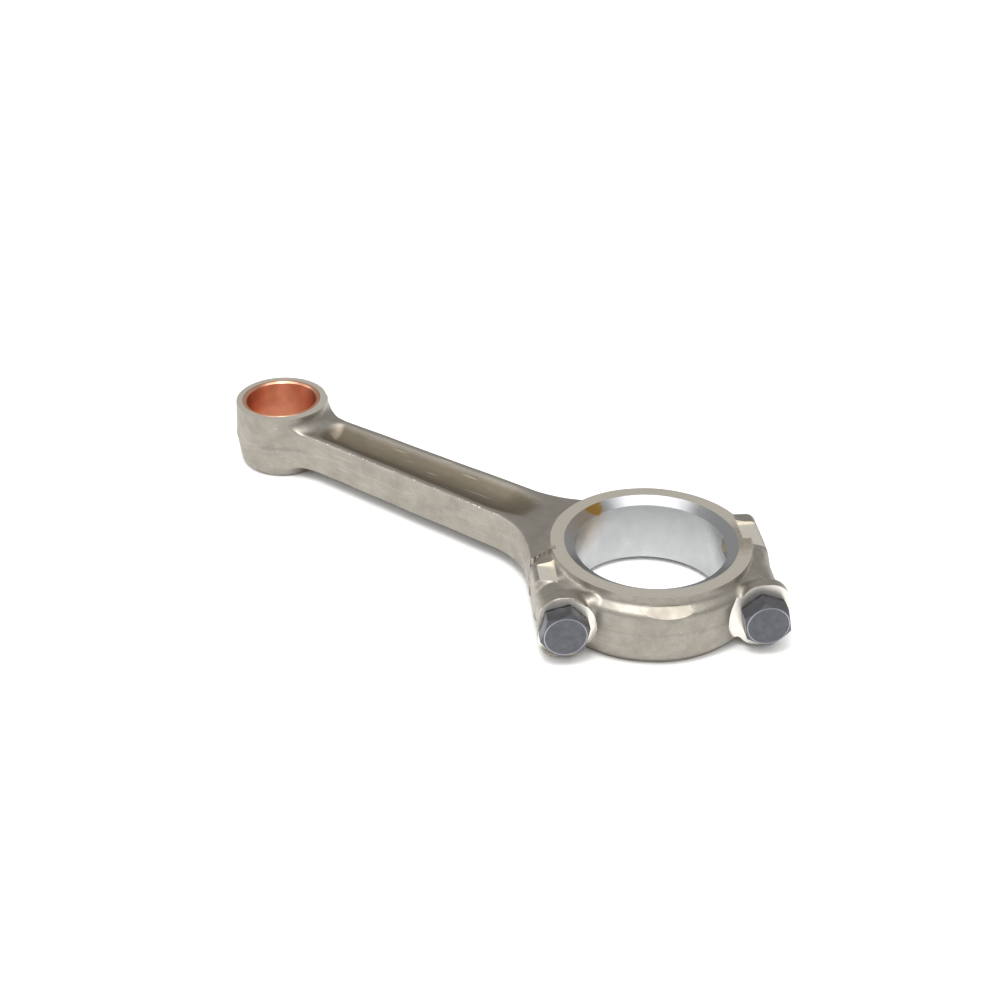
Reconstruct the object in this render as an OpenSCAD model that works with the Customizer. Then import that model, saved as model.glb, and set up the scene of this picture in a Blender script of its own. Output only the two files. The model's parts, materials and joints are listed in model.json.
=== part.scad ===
// Connecting rod with an obliquely split big end.
// Origin: centre of the crankpin bore at mid width. +Z runs along both bores.
// The small end lies at -X. The cap leaves along the split direction, see on_split().

/* [Layout] */
// Distance between the two bore centres
centre_distance = 219.1; // [216:0.1:222]
// Angle from the rod's axis to the cap's direction of removal
split_angle = 48; // [44:1:50]
// Width of both ends along the bores
end_width = 33.4; // [32:0.2:34]

/* [Big end] */
// Diameter of the crankpin bore, bare of its bearing shells
big_bore_d = 67.2; // [66:0.1:68]
// Diameter of the chamfer's mouth at the side faces
big_mouth_d = 76.5; // [75:0.5:78]
// Depth of the chamfer along the bore
big_mouth_depth = 2.7; // [2:0.1:3.5]
// Diameter of the machined rim on both side faces
rim_d = 88.6; // [88:0.2:90]
// Height of the machined rim above the forging
rim_step = 3.8; // [3:0.1:4.5]
// Largest diameter of the forging round the big end
crown_d = 99.2; // [98:0.2:101]

/* [Split] */
// Pitch of the serrations along the split
tooth_pitch = 2; // [1.6:0.2:2.4]
// Depth of the serrations
tooth_depth = 1; // [0.8:0.1:1.2]
// Width of the notch for the bearing shell's tang, along the bore
tang_w = 6.4; // [5:0.2:7]
// Depth of the tang notch behind the bore wall
tang_depth = 1.9; // [1.4:0.1:2.2]

/* [Cap screws] */
// Distance between the two screw axes
screw_pitch = 86.7; // [86:0.1:87.6]
// Diameter of the screw's shank and thread crests
screw_d = 12.6; // [12.4:0.1:12.6]
// Diameter of the tapped hole in the rod
tapped_d = 12.7; // [12.7:0.01:12.76]
// Diameter of the clearance hole in the cap
cap_hole_d = 13.2; // [13:0.1:13.4]
// Distance from the split to the faces that the screw heads bear on
seat_height = 37.1; // [36.6:0.1:37.6]
// Length of the screw under its head
screw_length = 63.5; // [60:0.5:64]
// Width of the hexagon across its flats
head_af = 19.05; // [18.5:0.05:19.1]
// Height of the hexagon head
head_h = 8.2; // [7.5:0.1:8.5]
// Diameter of the spot face beside the shank
seat_left_d = 28; // [27:0.5:28.5]
// Diameter of the wider spot face on the far side
seat_right_d = 32.4; // [31:0.2:33]

/* [Small end] */
// Outer diameter of the small end's eye
eye_d = 47.6; // [47:0.2:48.4]
// Outer diameter of the bush and of its seat
bush_od = 38.92; // [38.5:0.02:39.2]
// Bore of the bush for the gudgeon pin
pin_bore_d = 34.95; // [34.8:0.05:35.2]
// Chamfer on the bush's edges
bush_chamfer = 0.7; // [0.5:0.1:0.9]

/* [Shank] */
// Height of the flanges along the bores
flange_h = 19; // [18:0.5:20]
// Width of the shank where it meets the small end
shank_w_small = 24.4; // [23:0.2:25]
// Width of the shank where it meets the big end
shank_w_big = 29; // [28:0.2:30]
// Thickness of each flange
flange_t = 4.8; // [4.4:0.1:5.4]
// Thickness of the web between the flanges
web_t = 7; // [6:0.5:8]

/* [Hidden] */
$fn = 96;

forging_grey = [0.58, 0.55, 0.52];
cap_grey = [0.62, 0.59, 0.55];
copper = [0.72, 0.34, 0.18];
blackened = [0.25, 0.25, 0.28];

half_w = end_width / 2;
rim_base = half_w - rim_step;
crown_r = crown_d / 2;
crown_edge_r = crown_r - 1;
crown_edge_z = rim_base - 3;
big_bore_r = big_bore_d / 2;
eps = 0.05;
far = 90;
split_dir = [sin(split_angle), cos(split_angle)];

// Screw bosses: rounded blocks along each screw, with a collar under each head
boss_w = 20.6;
ear_w = 18.4;
boss_half_h = 12.5;
collar_w = 21.4;
collar_half_h = 15.4;
collar_h = 6;
ear_end = -27.5;
tapped_depth = 29;

// Flats milled on top of the bosses, beside the rim
pad_z = 11.2;
left_pad_inner = 44.5;
right_pad_inner = 39.5;
washer_h = 0.6;
head_chamfer_h = 0.9;
facet_lift = -0.5;
facet_inset = 5;
tang_length = 4.5;
tang_z = 9.5;

// Shank outline
small_x = -centre_distance;
shank_x_small = small_x + 28;
shank_x_big = -76;
neck_r = 34;
near_flare_r = 38;
far_flare_r = 52;
ramp_top_r = crown_edge_r + 2;
ramp_foot_r = 72;

// Local x runs along the cap's direction of removal, local y along the split
module on_split() {
  rotate([0, 0, -split_angle]) children();
}

// Local z runs along a screw from the split, local y along the split, local x is -Z
module on_screw(side) {
  on_split()
    translate([0, side * screw_pitch / 2, 0])
      rotate([0, 90, 0]) children();
}

// Half width of the shank at x
function shank_half(x) =
  let (f = (x - shank_x_small) / (shank_x_big - shank_x_small))
  (shank_w_small * (1 - f) + shank_w_big * f) / 2;

// Distance from the bore's centre line to the outer side of a screw boss
boss_reach = (screw_pitch + boss_w) / 2;

// Centre of the concave arc between the shank's near side and the left screw boss
near_y = shank_half(shank_x_big) + near_flare_r;
near = [(cos(split_angle) * near_y - boss_reach - near_flare_r) / sin(split_angle), -near_y];

// Centre of the concave arc between the shank's far side and the big end
away_y = shank_half(shank_x_big) + far_flare_r;
away = [-sqrt(pow(crown_edge_r + far_flare_r, 2) - away_y * away_y), away_y];

// Centre of the concave arc between the shank and the eye, on the far side
neck_y = shank_half(shank_x_small) + neck_r;
neck = [small_x + sqrt(pow(eye_d / 2 + neck_r, 2) - neck_y * neck_y), neck_y];

// Plan of the shank with its flares, drawn smaller by an inset
module shank_plan(inset = 0) {
  small_half = shank_half(neck[0]) - inset;
  big_half = shank_half(shank_x_big) - inset;
  difference() {
    polygon([
      [small_x, 0],
      neck,
      [neck[0], small_half],
      [shank_x_big, big_half],
      [away[0], big_half],
      away,
      [0, 0],
      -(boss_reach - inset) * split_dir,
      near + (near_flare_r + inset) * split_dir,
      near,
      [near[0], -big_half],
      [neck[0], -small_half],
      [neck[0], -neck[1]]
    ]);
    translate(near) circle(near_flare_r + inset);
    translate(away) circle(far_flare_r + inset);
    translate(neck) circle(neck_r + inset);
    translate([neck[0], -neck[1]]) circle(neck_r + inset);
  }
}

// Ramps that rise from the web to the big end on both faces
module web_ramps() {
  rotate_extrude()
    polygon([
      [0, -flange_h / 2],
      [ramp_top_r, -flange_h / 2],
      [ramp_foot_r, -web_t / 2],
      [ramp_foot_r, web_t / 2],
      [ramp_top_r, flange_h / 2],
      [0, flange_h / 2]
    ]);
}

// I-section shank with a pocket on each side of the web
module shank() {
  difference() {
    linear_extrude(flange_h, center = true) shank_plan();
    difference() {
      for (face = [-1, 1])
        translate([0, 0, face * (web_t / 2 + far / 2)])
          linear_extrude(far, center = true) shank_plan(flange_t);
      web_ramps();
      translate([small_x, 0, 0]) cylinder(h = flange_h, d = eye_d + 3.2, center = true);
    }
  }
}

// Eye of the small end: straight above the parting line, drafted below it
module eye() {
  translate([small_x, 0, 0])
    rotate_extrude()
      polygon([
        [0, -half_w],
        [eye_d / 2 - 3.6, -half_w],
        [eye_d / 2 - 2.2, -half_w + 3],
        [eye_d / 2, 0],
        [eye_d / 2, half_w - 0.6],
        [eye_d / 2 - 0.6, half_w],
        [0, half_w]
      ]);
}

// Big end forging with a machined rim on both faces, not yet bored or split
module big_end_ring() {
  rotate_extrude()
    polygon([
      [0, -half_w],
      [rim_d / 2, -half_w],
      [rim_d / 2, -rim_base],
      [crown_edge_r, -crown_edge_z],
      [crown_r, 0],
      [crown_edge_r, crown_edge_z],
      [rim_d / 2, rim_base],
      [rim_d / 2, half_w],
      [0, half_w]
    ]);
}

// Section of a screw boss: a slot shape that stands across the split
module boss_section(w, half_h) {
  lift = half_h - w / 2;
  for (end = [-lift, lift])
    translate([end, 0]) circle(d = w);
  square([2 * lift, w], center = true);
}

// Screw boss from one height along the screw to another
module screw_boss(side, from, to, w, half_h = boss_half_h) {
  on_screw(side)
    translate([0, 0, from])
      linear_extrude(to - from) boss_section(w, half_h);
}

// Flat milled on top of a screw boss, outside a given distance from the bore's centre line
module boss_flat(side, inner, from, to) {
  on_split()
    translate([(from + to) / 2, side * (inner + far / 2), pad_z + far / 2])
      cube([to - from, far, far], center = true);
}

// The crankpin bore with a wide chamfer at both faces
module crankpin_bore() {
  rotate_extrude()
    polygon([
      [0, -half_w - 1],
      [big_mouth_d / 2, -half_w - 1],
      [big_mouth_d / 2, -half_w],
      [big_bore_r, -half_w + big_mouth_depth],
      [big_bore_r, half_w - big_mouth_depth],
      [big_mouth_d / 2, half_w],
      [big_mouth_d / 2, half_w + 1],
      [0, half_w + 1]
    ]);
}

// Everything on the cap's side of the serrated split
module cap_side() {
  teeth = round(60 / tooth_pitch);
  on_split()
    linear_extrude(far, center = true)
      polygon(concat(
        [[far, -60]],
        [for (i = [-2 * teeth : 2 * teeth])
          [(i % 2 == 0 ? 0.5 : -0.5) * tooth_depth, i * tooth_pitch / 2]],
        [[far, 60]]
      ));
}

// Slanting flat milled on the crown's shoulder to balance the rod
module balance_facet() {
  on_split()
    translate([crown_edge_r, -2, crown_edge_z])
      rotate([0, 40, 0])
        translate([far / 2 - facet_inset, 0, facet_lift + far / 2])
          cube([far, far, far], center = true);
}

// Notch in the bore for a bearing shell's tang, on one side of the split
module tang_notch(along) {
  on_split()
    translate([
      along * tang_length / 2,
      big_bore_r,
      tang_z
    ])
      cube([tang_length, 2 * tang_depth, tang_w], center = true);
}

module rod_body() {
  color(forging_grey)
    difference() {
      union() {
        shank();
        eye();
        big_end_ring();
        screw_boss(-1, -14, 5, boss_w);
        screw_boss(1, ear_end, 5, ear_w);
      }
      cap_side();
      crankpin_bore();
      tang_notch(-1);
      boss_flat(1, right_pad_inner, -18, 9);
      translate([small_x, 0, 0]) cylinder(h = far, d = bush_od, center = true);
      on_screw(-1) translate([0, 0, -tapped_depth]) cylinder(h = far, d = tapped_d);
      on_screw(1) translate([0, 0, -far / 2]) cylinder(h = far, d = tapped_d);
    }
}

module bearing_cap() {
  color(cap_grey)
    difference() {
      intersection() {
        union() {
          big_end_ring();
          screw_boss(-1, -5, seat_height, boss_w);
          screw_boss(1, -5, seat_height, ear_w);
          for (side = [-1, 1])
            screw_boss(side, seat_height - collar_h, seat_height, collar_w, collar_half_h);
        }
        cap_side();
      }
      crankpin_bore();
      tang_notch(1);
      balance_facet();
      boss_flat(-1, left_pad_inner, 4, 22);
      boss_flat(1, right_pad_inner, -18, 9);
      for (side = [-1, 1])
        on_screw(side) cylinder(h = far, d = cap_hole_d, center = true);
      on_screw(-1) translate([0, 0, seat_height]) cylinder(h = far, d = seat_left_d);
      on_screw(1) translate([0, 0, seat_height]) cylinder(h = far, d = seat_right_d);
    }
}

module small_end_bush() {
  edge_z = half_w - bush_chamfer;
  color(copper)
    translate([small_x, 0, 0])
      rotate_extrude()
        polygon([
          [pin_bore_d / 2 + bush_chamfer, -half_w],
          [bush_od / 2, -half_w],
          [bush_od / 2, half_w],
          [pin_bore_d / 2 + bush_chamfer, half_w],
          [pin_bore_d / 2, edge_z],
          [pin_bore_d / 2, -edge_z]
        ]);
}

// Hexagon-headed screw whose head bears on the cap; its thread is drawn as a plain shank
module cap_screw(side) {
  corner_r = head_af / 2 / cos(30);
  color(blackened)
    on_screw(side)
      translate([0, 0, seat_height]) {
        intersection() {
          cylinder(h = head_h, r = corner_r, $fn = 6);
          rotate_extrude()
            polygon([
              [0, 0],
              [head_af / 2 - 0.3, 0],
              [head_af / 2 - 0.3, washer_h],
              [corner_r + 0.1, washer_h],
              [corner_r + 0.1, head_h - head_chamfer_h],
              [head_af / 2 - 0.2, head_h],
              [0, head_h]
            ]);
        }
        translate([0, 0, -screw_length])
          rotate_extrude()
            polygon([
              [0, 0],
              [screw_d / 2 - 1.2, 0],
              [screw_d / 2, 1.2],
              [screw_d / 2, screw_length + eps],
              [0, screw_length + eps]
            ]);
      }
}

module cap_screw_left() { cap_screw(-1); }

module cap_screw_right() { cap_screw(1); }

rod_body();
bearing_cap();
small_end_bush();
cap_screw_left();
cap_screw_right();
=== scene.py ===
"""Forged connecting rod with an obliquely split big end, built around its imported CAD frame."""

import json
import math
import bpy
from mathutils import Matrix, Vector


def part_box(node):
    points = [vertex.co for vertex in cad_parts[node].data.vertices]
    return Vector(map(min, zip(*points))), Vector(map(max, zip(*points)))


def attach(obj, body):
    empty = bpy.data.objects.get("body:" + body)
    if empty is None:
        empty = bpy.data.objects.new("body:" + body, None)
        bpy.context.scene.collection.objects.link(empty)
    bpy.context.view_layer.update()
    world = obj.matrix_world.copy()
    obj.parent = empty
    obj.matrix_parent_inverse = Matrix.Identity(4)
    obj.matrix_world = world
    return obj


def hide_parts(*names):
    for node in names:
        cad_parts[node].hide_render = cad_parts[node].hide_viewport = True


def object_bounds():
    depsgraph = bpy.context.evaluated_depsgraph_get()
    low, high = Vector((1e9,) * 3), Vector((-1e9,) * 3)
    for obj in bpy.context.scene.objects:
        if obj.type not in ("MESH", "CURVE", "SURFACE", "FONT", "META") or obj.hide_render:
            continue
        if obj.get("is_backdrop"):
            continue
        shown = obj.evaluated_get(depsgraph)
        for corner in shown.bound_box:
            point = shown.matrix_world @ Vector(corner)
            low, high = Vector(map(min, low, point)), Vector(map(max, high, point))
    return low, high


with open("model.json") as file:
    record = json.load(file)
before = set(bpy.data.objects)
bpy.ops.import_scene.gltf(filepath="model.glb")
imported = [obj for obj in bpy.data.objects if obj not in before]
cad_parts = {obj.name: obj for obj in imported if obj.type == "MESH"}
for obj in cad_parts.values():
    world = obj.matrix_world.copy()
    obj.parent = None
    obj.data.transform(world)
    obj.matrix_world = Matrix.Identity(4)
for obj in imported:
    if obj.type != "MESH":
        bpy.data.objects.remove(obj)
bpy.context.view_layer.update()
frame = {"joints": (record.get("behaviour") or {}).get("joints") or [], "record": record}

from types import SimpleNamespace

import bmesh
import bpy
import numpy as np
from bpy.props import FloatProperty, PointerProperty, StringProperty
from bpy.types import Operator, Panel, PropertyGroup
from mathutils import Matrix, Vector

bl_info = {
    "name": "Connecting rod",
    "version": (1, 0, 0),
    "blender": (4, 5, 0),
    "location": "View3D > Sidebar > Rod",
    "description": "Builds a forged connecting rod with its bush, cap and cap screws",
    "category": "Object",
}

MM = 0.001
MOUNTS = {mount["name"]: mount for mount in frame["record"]["mounts"]}
SMALL_X = MOUNTS["gudgeon_pin_bore"]["pos_m"][0] / MM
BIG_BORE_R = MOUNTS["crankpin_bore"]["dims"]["r_mm"]
PIN_BORE_R = MOUNTS["gudgeon_pin_bore"]["dims"]["r_mm"]
HALF_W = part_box("rod_body")[1].z / MM
BUSH_OD_R = (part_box("small_end_bush")[1].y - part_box("small_end_bush")[0].y) / 2 / MM
JOINTS = {joint["name"]: joint for joint in frame["joints"]}
SPLIT_X, SPLIT_Y, _ = JOINTS["cap_removal"]["axis"]
SCREW_OFFSET = math.hypot(*JOINTS["right_screw_turn"]["pos_m"][:2]) / MM
THREAD_PITCH = 1.27
CROWN_DRAFT = 0.09
MACHINED_ANGLE = 22
HEAD_ANGLE = 28


# ---------------------------------------------------------------- sizes and colours

class RodSizes(PropertyGroup):
    """Sizes of the forging and its machined features, in metres."""

    grid_step: FloatProperty(
        name="Skin grid", default=0.0007, unit="LENGTH", min=0.0005, max=0.002,
        description="Spacing of the grid that the forged skin is drawn on")
    flange_half: FloatProperty(
        name="Flange half height", default=0.0095, unit="LENGTH",
        description="Half the flanges' height along the bores")
    web_half: FloatProperty(
        name="Web half thickness", default=0.004, unit="LENGTH", description="Half the web's thickness")
    flange_wall: FloatProperty(
        name="Flange land", default=0.0024, unit="LENGTH",
        description="Width of each flange's top face")
    eye_r: FloatProperty(
        name="Eye radius", default=0.0234, unit="LENGTH",
        description="Outer radius of the small end's eye")
    rim_r: FloatProperty(
        name="Rim radius", default=0.0443, unit="LENGTH",
        description="Outer radius of the machined rim")
    crown_r: FloatProperty(
        name="Crown radius", default=0.0495, unit="LENGTH",
        description="Largest radius of the big end's forging")
    mouth_r: FloatProperty(
        name="Mouth radius", default=0.03825, unit="LENGTH",
        description="Radius of the bore's chamfer at the faces")
    mouth_depth: FloatProperty(
        name="Mouth depth", default=0.0027, unit="LENGTH",
        description="Depth of the bore's chamfer along the bore")
    seat_height: FloatProperty(
        name="Seat height", default=0.0371, unit="LENGTH",
        description="From the split to the faces under the heads")
    head_af: FloatProperty(
        name="Hexagon", default=0.01905, unit="LENGTH",
        description="Width of the screw heads across their flats")
    head_h: FloatProperty(
        name="Head height", default=0.0082, unit="LENGTH", description="Height of the screw heads")
    screw_length: FloatProperty(
        name="Screw length", default=0.0635, unit="LENGTH",
        description="Length of the screws under their heads")


class RodFinish(PropertyGroup):
    """Colours of the finishes, as sRGB hex values."""

    forged_hex: StringProperty(
        name="Forged skin", default="#9A958C", description="Shot-blasted forged steel")
    machined_hex: StringProperty(
        name="Machined steel", default="#CDC8BF", description="Milled steel, and scratches in the skin")
    bronze_hex: StringProperty(
        name="Bush", default="#EDB090", description="Copper-coloured lead bronze of the bush")
    black_hex: StringProperty(
        name="Screws", default="#5B5C61", description="Black oxide on the cap screws")
    amber_hex: StringProperty(
        name="Oil stain", default="#B58A34", description="Amber film of dried oil in the bore's mouth")
    floor_hex: StringProperty(
        name="Floor", default="#F7F7F6", description="Pale matt floor")


def in_millimetres(sizes):
    """The user's sizes in millimetres, which everything is modelled in."""
    return SimpleNamespace(**{name: getattr(sizes, name) / MM for name in RodSizes.__annotations__})


# ---------------------------------------------------------------- material helpers

def colour(hex_value):
    """Linear RGBA of an sRGB hex value such as #C9C4BC."""
    digits = hex_value.lstrip("#")
    channels = [int(digits[i:i + 2], 16) / 255 for i in (0, 2, 4)]
    linear = [c / 12.92 if c <= 0.04045 else ((c + 0.055) / 1.055) ** 2.4 for c in channels]
    return (*linear, 1.0)


def add_node(tree, kind, settings=None, **inputs):
    """Adds a node, sets its properties and its input values, and links inputs given as sockets."""
    node = tree.nodes.new(kind)
    for name, value in (settings or {}).items():
        setattr(node, name, value)
    for name, value in inputs.items():
        socket = node.inputs[int(name[1:])] if name[0] == "_" else node.inputs[name.replace("_", " ")]
        if isinstance(value, bpy.types.NodeSocket):
            tree.links.new(value, socket)
        else:
            socket.default_value = value
    return node


def new_material(name):
    """A material with an empty node tree but for its output."""
    material = bpy.data.materials.new(name)
    material.use_nodes = True
    material.node_tree.nodes.clear()
    output = material.node_tree.nodes.new("ShaderNodeOutputMaterial")
    return material, material.node_tree, output


def ramp(tree, factor, stops):
    """A colour ramp through (position, colour) stops."""
    node = add_node(tree, "ShaderNodeValToRGB", Fac=factor)
    elements = node.color_ramp.elements
    while len(elements) < len(stops):
        elements.new(0.5)
    for element, (position, value) in zip(elements, stops):
        element.position = position
        element.color = value
    return node.outputs["Color"]


def shade_of(hex_value, factor):
    """The colour of a hex value, made darker or lighter by a factor."""
    red, green, blue, _ = colour(hex_value)
    return (red * factor, green * factor, blue * factor, 1.0)


def forged_steel(finish):
    """Shot-blasted forged steel: satin warm grey, with painted shade that makes the pockets darker and
    browner.
    """
    material, tree, output = new_material("shot_blasted_forged_steel")
    place = add_node(tree, "ShaderNodeTexCoord").outputs["Object"]
    # Blast pits are 0.2 to 0.4 mm; they are drawn 0.7 mm wide so that they show
    pits = add_node(tree, "ShaderNodeTexNoise", Vector=place, Scale=1 / (0.7 * MM),
                    Detail=3.0, Roughness=0.6).outputs["Fac"]
    # Scale and handling marks, 9 mm across
    marks = add_node(tree, "ShaderNodeTexNoise", Vector=place, Scale=1 / (9 * MM),
                     Detail=6.0, Roughness=0.62).outputs["Fac"]
    stretched = add_node(tree, "ShaderNodeMapping", Vector=place, Scale=(0.16, 1.0, 1.4)).outputs[0]
    # Linishing and flow lines drawn out along the shank, 1.6 mm apart
    streaks = add_node(tree, "ShaderNodeTexNoise", Vector=stretched, Scale=1 / (1.6 * MM),
                       Detail=4.0, Roughness=0.7).outputs["Fac"]
    skin = ramp(tree, marks, [(0.30, shade_of(finish.forged_hex, 0.86)),
                              (0.52, colour(finish.forged_hex)),
                              (0.72, shade_of(finish.forged_hex, 1.10))])
    tone = ramp(tree, streaks, [(0.36, (0.86, 0.85, 0.83, 1)), (0.58, (1, 1, 1, 1))])
    base = add_node(tree, "ShaderNodeMix", {"data_type": "RGBA", "blend_type": "MULTIPLY"},
                    _0=0.6, _6=skin, _7=tone).outputs[2]
    # Painted shade: the colour is multiplied darker and browner in the pockets
    pocket_shade = add_node(tree, "ShaderNodeAttribute", {"attribute_name": "pocket_shade"}).outputs["Fac"]
    base = add_node(tree, "ShaderNodeMix", {"data_type": "RGBA", "blend_type": "MULTIPLY"},
                    _0=pocket_shade, _6=base, _7=colour("#CFC6B8")).outputs[2]
    # Thin bright scratches, 0.3 mm wide, that run along the rod
    drawn = add_node(tree, "ShaderNodeMapping", Vector=place, Scale=(0.05, 1.0, 1.0)).outputs[0]
    scratch = add_node(tree, "ShaderNodeTexNoise", Vector=drawn, Scale=1 / (1.1 * MM),
                       Detail=1.0).outputs["Fac"]
    bright = add_node(tree, "ShaderNodeMapRange", Value=scratch, From_Min=0.71, From_Max=0.76,
                      To_Min=0.0, To_Max=0.3).outputs["Result"]
    base = add_node(tree, "ShaderNodeMix", {"data_type": "RGBA"}, _0=bright, _6=base,
                    _7=shade_of(finish.machined_hex, 1.15)).outputs[2]
    # Knocks on the flanges' edges, 1.2 mm
    edge = add_node(tree, "ShaderNodeAttribute", {"attribute_name": "edge"}).outputs["Fac"]
    knocks = add_node(tree, "ShaderNodeTexNoise", Vector=place, Scale=1 / (1.2 * MM),
                      Detail=3.0).outputs["Fac"]
    hit = add_node(tree, "ShaderNodeMath", {"operation": "MULTIPLY"}, _0=edge, _1=knocks).outputs[0]
    bare = add_node(tree, "ShaderNodeMapRange", Value=hit, From_Min=0.50, From_Max=0.58,
                    To_Min=0.0, To_Max=0.9).outputs["Result"]
    base = add_node(tree, "ShaderNodeMix", {"data_type": "RGBA"}, _0=bare, _6=base,
                    _7=colour("#EDE8DF")).outputs[2]
    rough = add_node(tree, "ShaderNodeMapRange", Value=marks, From_Min=0.3, From_Max=0.7,
                     To_Min=0.52, To_Max=0.38).outputs["Result"]
    height = add_node(tree, "ShaderNodeMath", {"operation": "MULTIPLY_ADD"},
                      _0=streaks, _1=0.6, _2=pits).outputs[0]
    bump = add_node(tree, "ShaderNodeBump", Height=height, Strength=0.3,
                    Distance=0.12 * MM).outputs["Normal"]
    shader = add_node(tree, "ShaderNodeBsdfPrincipled", Base_Color=base, Metallic=0.9,
                      Roughness=rough, Normal=bump)
    tree.links.new(shader.outputs[0], output.inputs[0])
    return material


def patch_mask(tree, place, centre, inner, outer, strength):
    """A ragged round patch around a point: full strength inside, nothing outside."""
    reach = add_node(tree, "ShaderNodeVectorMath", {"operation": "DISTANCE"},
                     _0=place, _1=centre).outputs["Value"]
    # The patch's border wanders by about 3 mm
    ragged = add_node(tree, "ShaderNodeTexNoise", Vector=place, Scale=1 / (3 * MM),
                      Detail=4.0).outputs["Fac"]
    spread = add_node(tree, "ShaderNodeMath", {"operation": "MULTIPLY_ADD"},
                      _0=ragged, _1=0.008, _2=reach).outputs[0]
    return add_node(tree, "ShaderNodeMapRange", Value=spread, From_Min=inner + 0.004,
                    From_Max=outer + 0.004, To_Min=strength, To_Max=0.0).outputs["Result"]


def machined_steel(finish, name, look):
    """Turned, bored or milled steel: bright, with fine tool marks round the bore's axis."""
    material, tree, output = new_material(name)
    place = add_node(tree, "ShaderNodeTexCoord").outputs["Object"]
    flat = add_node(tree, "ShaderNodeVectorMath", {"operation": "MULTIPLY"},
                    _0=place, _1=(1.0, 1.0, 0.0)).outputs["Vector"]
    reach = add_node(tree, "ShaderNodeVectorMath", {"operation": "LENGTH"}, _0=flat).outputs["Value"]
    depth = add_node(tree, "ShaderNodeSeparateXYZ", Vector=place).outputs["Z"]
    rings = add_node(tree, "ShaderNodeCombineXYZ", X=reach, Y=depth, Z=0.0).outputs["Vector"]
    # Tool marks are about 0.1 mm apart; they are drawn coarser so that they show
    marks = add_node(tree, "ShaderNodeTexNoise", Vector=rings, Scale=1 / (look["pitch"] * MM),
                     Detail=3.0, Roughness=0.7).outputs["Fac"]
    # Wear and fingermarks, 8 mm across
    wear = add_node(tree, "ShaderNodeTexNoise", Vector=place, Scale=1 / (8 * MM),
                    Detail=5.0, Roughness=0.6).outputs["Fac"]
    spread = look["wear"]
    base = ramp(tree, wear, [(0.32, shade_of(look["hex"], 1 - spread)), (0.55, colour(look["hex"])),
                             (0.75, shade_of(look["hex"], 1 + spread / 2))])
    height = marks
    if look.get("stained"):
        for centre, inner, outer, strength in (((-0.0370, 0.0085, 0.0155), 0.0040, 0.0056, 0.9),
                                               ((-0.0350, -0.0020, 0.0130), 0.0020, 0.0170, 0.4)):
            stain = patch_mask(tree, place, centre, inner, outer, strength)
            base = add_node(tree, "ShaderNodeMix", {"data_type": "RGBA"}, _0=stain, _6=base,
                            _7=colour(finish.amber_hex)).outputs[2]
    if look.get("pitted"):
        # Corrosion pits beside the joint, 0.8 mm
        pits = add_node(tree, "ShaderNodeTexNoise", Vector=place, Scale=1 / (0.8 * MM),
                        Detail=2.0).outputs["Fac"]
        worn = patch_mask(tree, place, (0.0290, 0.0240, HALF_W * MM), 0.0060, 0.0150, 1.0)
        deep = add_node(tree, "ShaderNodeMath", {"operation": "MULTIPLY"}, _0=pits, _1=worn).outputs[0]
        height = add_node(tree, "ShaderNodeMath", {"operation": "MULTIPLY_ADD"},
                          _0=deep, _1=9.0, _2=marks).outputs[0]
        base = add_node(tree, "ShaderNodeMix", {"data_type": "RGBA"}, _0=deep, _6=base,
                        _7=colour("#8A7C68")).outputs[2]
    rough = add_node(tree, "ShaderNodeMapRange", Value=wear, From_Min=0.3, From_Max=0.7,
                     To_Min=look["rough"] + 0.06, To_Max=look["rough"] - 0.04).outputs["Result"]
    bump = add_node(tree, "ShaderNodeBump", Height=height, Strength=0.25,
                    Distance=0.03 * MM).outputs["Normal"]
    around = add_node(tree, "ShaderNodeTangent", {"direction_type": "RADIAL", "axis": "Z"})
    shader = add_node(tree, "ShaderNodeBsdfPrincipled", Base_Color=base, Metallic=1.0,
                      Roughness=rough, Anisotropic=look.get("grain", 0.0),
                      Anisotropic_Rotation=0.25, Normal=bump, Tangent=around.outputs[0])
    tree.links.new(shader.outputs[0], output.inputs[0])
    return material


def bronze(finish):
    """Lead bronze fresh from the fine-boring bar: copper coloured, with fine rings in the bore."""
    material, tree, output = new_material("fine_bored_bronze")
    place = add_node(tree, "ShaderNodeTexCoord").outputs["Object"]
    depth = add_node(tree, "ShaderNodeSeparateXYZ", Vector=place).outputs["Z"]
    rings = add_node(tree, "ShaderNodeCombineXYZ", X=0.0, Y=0.0, Z=depth).outputs["Vector"]
    # Boring marks are about 0.1 mm apart; they are drawn 0.5 mm apart so that they show
    marks = add_node(tree, "ShaderNodeTexNoise", Vector=rings, Scale=1 / (0.5 * MM),
                     Detail=3.0).outputs["Fac"]
    tarnish = add_node(tree, "ShaderNodeTexNoise", Vector=place, Scale=1 / (8 * MM),
                       Detail=4.0).outputs["Fac"]
    base = ramp(tree, tarnish, [(0.3, shade_of(finish.bronze_hex, 0.8)),
                                (0.6, colour(finish.bronze_hex)),
                                (0.8, shade_of(finish.bronze_hex, 1.15))])
    bump = add_node(tree, "ShaderNodeBump", Height=marks, Strength=0.3,
                    Distance=0.02 * MM).outputs["Normal"]
    around = add_node(tree, "ShaderNodeTangent", {"direction_type": "RADIAL", "axis": "Z"})
    shader = add_node(tree, "ShaderNodeBsdfPrincipled", Base_Color=base, Metallic=1.0,
                      Roughness=0.34, Anisotropic=0.8, Anisotropic_Rotation=0.25, Normal=bump,
                      Tangent=around.outputs[0])
    tree.links.new(shader.outputs[0], output.inputs[0])
    return material


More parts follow.
